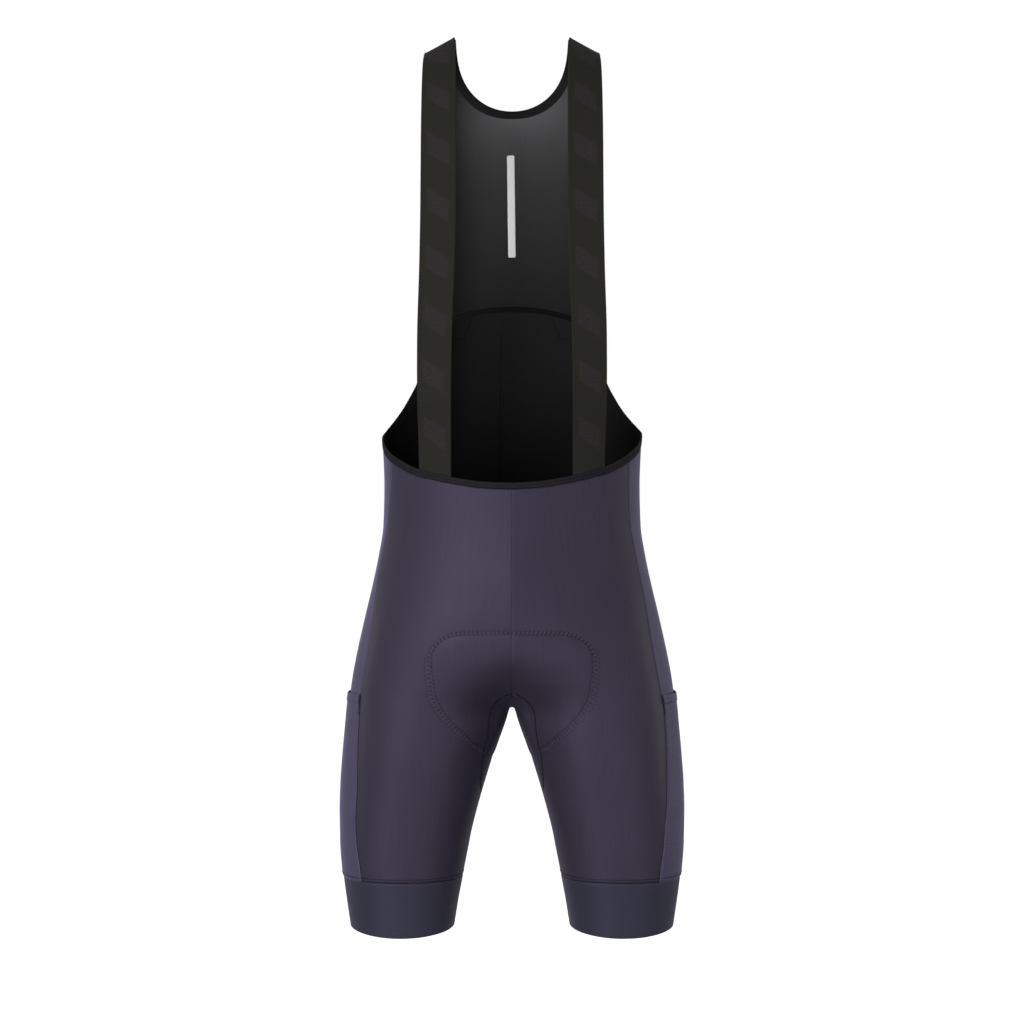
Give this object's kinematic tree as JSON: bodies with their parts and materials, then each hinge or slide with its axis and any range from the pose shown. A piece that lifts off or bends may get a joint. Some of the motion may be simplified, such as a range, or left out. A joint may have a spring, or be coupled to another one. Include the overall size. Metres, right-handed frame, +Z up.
{
  "type": "cycling bib shorts",
  "caption": "Knee-length cycling bib shorts with shoulder straps, mesh back, side pockets, seat pad and leg grippers, standing hollow as worn.",
  "frame": {"origin": "midway between the two shoulder crowns, at the height of the cloth there, where the straps rest on the wearer's shoulders", "axes": "+X to the wearer's left, +Y to the back, +Z up; the front faces -Y"},
  "size_m": [0.3579, 0.2384, 0.9309],
  "materials": {
    "body_fabric": "slightly sheened warp knit, dark purple",
    "side_fabric": "fine cross-ribbed knit, purple",
    "gripper_fabric": "matte elastic band, dark purple",
    "strap_elastic": "matte woven elastic, black",
    "mesh_fabric": "fine ribbed mesh, black",
    "bib_fabric": "matte knit, black",
    "binding_fabric": "folded elastic binding, black",
    "label_fabric": "smooth transfer strip, light grey",
    "pad_fabric": "matte brushed foam pad, black"
  },
  "bodies": {
    "root": {"front_panel_left": "body_fabric", "front_panel_right": "body_fabric", "back_panel_left": "body_fabric", "back_panel_right": "body_fabric", "inner_gusset": "body_fabric", "side_panel_left": "side_fabric", "side_panel_right": "side_fabric", "side_pocket_left": "side_fabric", "side_pocket_right": "side_fabric", "leg_gripper_left": "gripper_fabric", "leg_gripper_right": "gripper_fabric", "lower_back_bib": "bib_fabric", "back_seam_band": "binding_fabric", "upper_back_mesh": "mesh_fabric", "edge_binding": "binding_fabric", "neck_binding": "binding_fabric", "strap_left": "strap_elastic", "strap_right": "strap_elastic", "back_label": "label_fabric", "seat_pad": "pad_fabric"}
  },
  "joints": []
}
